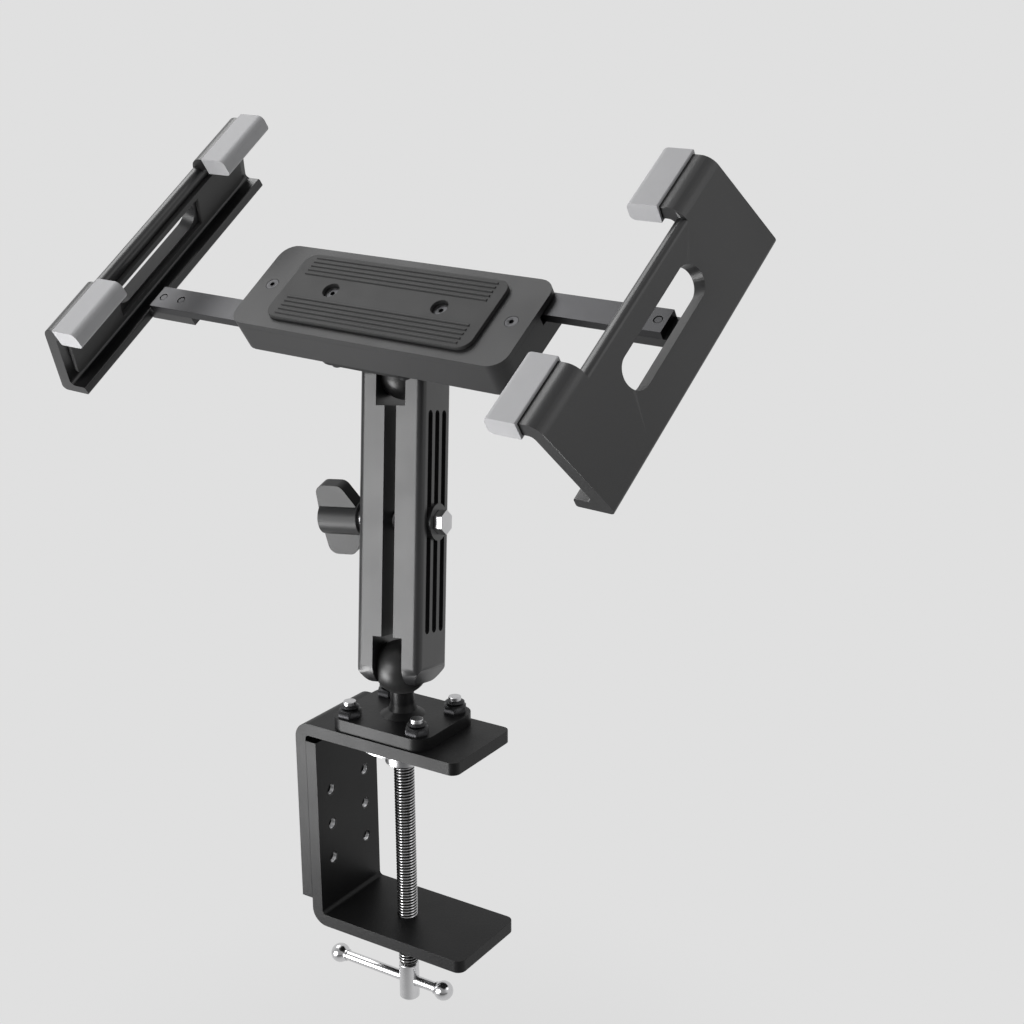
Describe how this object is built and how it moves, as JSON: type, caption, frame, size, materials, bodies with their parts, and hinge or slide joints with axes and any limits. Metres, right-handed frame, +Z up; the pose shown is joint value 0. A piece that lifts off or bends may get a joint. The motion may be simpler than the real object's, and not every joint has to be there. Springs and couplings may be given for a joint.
{
  "type": "tablet desk holder",
  "caption": "Desk clamp with a ball-jointed arm, locked by a wing knob, carrying a tablet holder with hooked jaws that slide together on a rack and pinion.",
  "frame": {"origin": "where the clamp screw's axis meets the underside of the top plate, which rests on the desk", "axes": "+Z up along the clamp screw; +X out of the clamp's mouth, away from its spine; the holder's screen side looks towards -Y and upwards"},
  "size_m": [0.3077, 0.1559, 0.4171],
  "materials": {
    "coated_steel": "satin black powder coat",
    "cast_base": "satin black powder coat on a cast base",
    "black_steel": "black oxide",
    "plated_steel": "bright zinc plate",
    "screw_steel": "bright nickel plate",
    "ball_rubber": "matt black rubber",
    "arm_alloy": "black coated light alloy",
    "spring_steel": "drawn spring wire",
    "knob_plastic": "fine-grained black moulding",
    "shell_plastic": "fine-grained black moulding",
    "jaw_plastic": "fine-grained black moulding",
    "pad_rubber": "soft black rubber",
    "tip_rubber": "light grey soft rubber",
    "slide_steel": "black oxide on rolled steel"
  },
  "bodies": {
    "clamp": {"upper_bracket": "coated_steel", "lower_bracket": "coated_steel", "spine_screws": "black_steel", "base_bolts": "plated_steel", "base_nuts": "black_steel", "lower_ball_base": "cast_base"},
    "clamp_pad": {"swivel_pad": "plated_steel"},
    "clamp_screw": {"clamp_screw": "screw_steel", "pad_ring": "plated_steel"},
    "tommy_bar": {"tommy_bar": "screw_steel", "bar_ends": "screw_steel"},
    "lower_cover": {"lower_ball_cover": "ball_rubber"},
    "arm": {"ribbed_arm_half": "arm_alloy", "arm_bolt": "plated_steel", "arm_spring": "spring_steel"},
    "knob_half": {"plain_arm_half": "arm_alloy", "knob_washer": "plated_steel"},
    "knob": {"wing_knob": "knob_plastic", "knob_insert": "plated_steel"},
    "upper_cover": {"upper_ball_cover": "ball_rubber"},
    "holder": {"upper_ball_base": "cast_base", "upper_base_screws": "black_steel", "rear_housing": "shell_plastic", "front_cover": "shell_plastic", "cover_screws": "black_steel", "grip_pad": "pad_rubber", "pinion_axle": "plated_steel", "right_spring": "spring_steel", "left_spring": "spring_steel"},
    "pinion": {"pinion": "plated_steel"},
    "right_jaw": {"right_slide": "slide_steel", "right_jaw": "jaw_plastic", "right_jaw_screws": "black_steel", "right_hook_tips": "tip_rubber", "right_wall_strip": "pad_rubber"},
    "left_jaw": {"left_slide": "slide_steel", "left_jaw": "jaw_plastic", "left_jaw_screws": "black_steel", "left_hook_tips": "tip_rubber", "left_wall_strip": "pad_rubber"}
  },
  "joints": [
    {"name": "pad_slide", "type": "slide", "parent": "clamp", "child": "clamp_pad", "axis": [0, 0, 1], "range_m": [-0.078, 0]},
    {"name": "screw_turn", "type": "hinge", "parent": "clamp_pad", "child": "clamp_screw", "pos_m": [0, 0, -0.06], "axis": [0, 0, 1], "range_deg": [-18721, 1]},
    {"name": "bar_slide", "type": "slide", "parent": "clamp_screw", "child": "tommy_bar", "axis": [1, 0, 0], "range_m": [-0.0105, 0.0328]},
    {"name": "arm_swivel", "type": "hinge", "parent": "clamp", "child": "lower_cover", "pos_m": [0, 0, 0.035], "axis": [0, 0, 1], "continuous": true},
    {"name": "arm_lean", "type": "hinge", "parent": "lower_cover", "child": "arm", "pos_m": [0, 0, 0.035], "axis": [0.9925, 0.1219, 0], "range_deg": [-33, 55]},
    {"name": "half_slide", "type": "slide", "parent": "arm", "child": "knob_half", "axis": [-0.988, -0.1367, -0.0716], "range_m": [0, 0.002], "deforming": ["arm_spring"]},
    {"name": "knob_turn", "type": "hinge", "parent": "knob_half", "child": "knob", "pos_m": [-0.03131, 0.00987, 0.09906], "axis": [-0.988, -0.1367, -0.0716], "range_deg": [-1, 721]},
    {"name": "holder_nod", "type": "hinge", "parent": "arm", "child": "upper_cover", "pos_m": [-0.01322, 0.02658, 0.1667], "axis": [0.9925, 0.1219, 0], "range_deg": [-90, 15]},
    {"name": "holder_roll", "type": "hinge", "parent": "upper_cover", "child": "holder", "pos_m": [-0.01322, 0.02658, 0.1667], "axis": [0.0086, -0.5971, 0.8021], "continuous": true},
    {"name": "right_jaw_slide", "type": "slide", "parent": "holder", "child": "right_jaw", "axis": [0.9982, -0.0418, -0.0419], "range_m": [-0.025, 0.03], "stiffness_N_per_m": 200, "deforming": ["right_spring"]},
    {"name": "left_jaw_slide", "type": "slide", "parent": "holder", "child": "left_jaw", "axis": [-0.9982, 0.0418, 0.0419], "range_m": [-0.025, 0.03], "stiffness_N_per_m": 200, "deforming": ["left_spring"]},
    {"name": "pinion_spin", "type": "hinge", "parent": "holder", "child": "pinion", "pos_m": [-0.00289, 0.00198, 0.19876], "axis": [-0.0086, 0.5971, -0.8021], "range_deg": [-179.2, 215]}
  ],
  "couplings": [
    {"joint": "screw_turn", "follows": "pad_slide", "rad_per_m": 4188.8},
    {"joint": "knob_turn", "follows": "half_slide", "rad_per_m": 6283.2},
    {"joint": "left_jaw_slide", "follows": "right_jaw_slide", "ratio": 1},
    {"joint": "pinion_spin", "follows": "right_jaw_slide", "rad_per_m": 125}
  ]
}
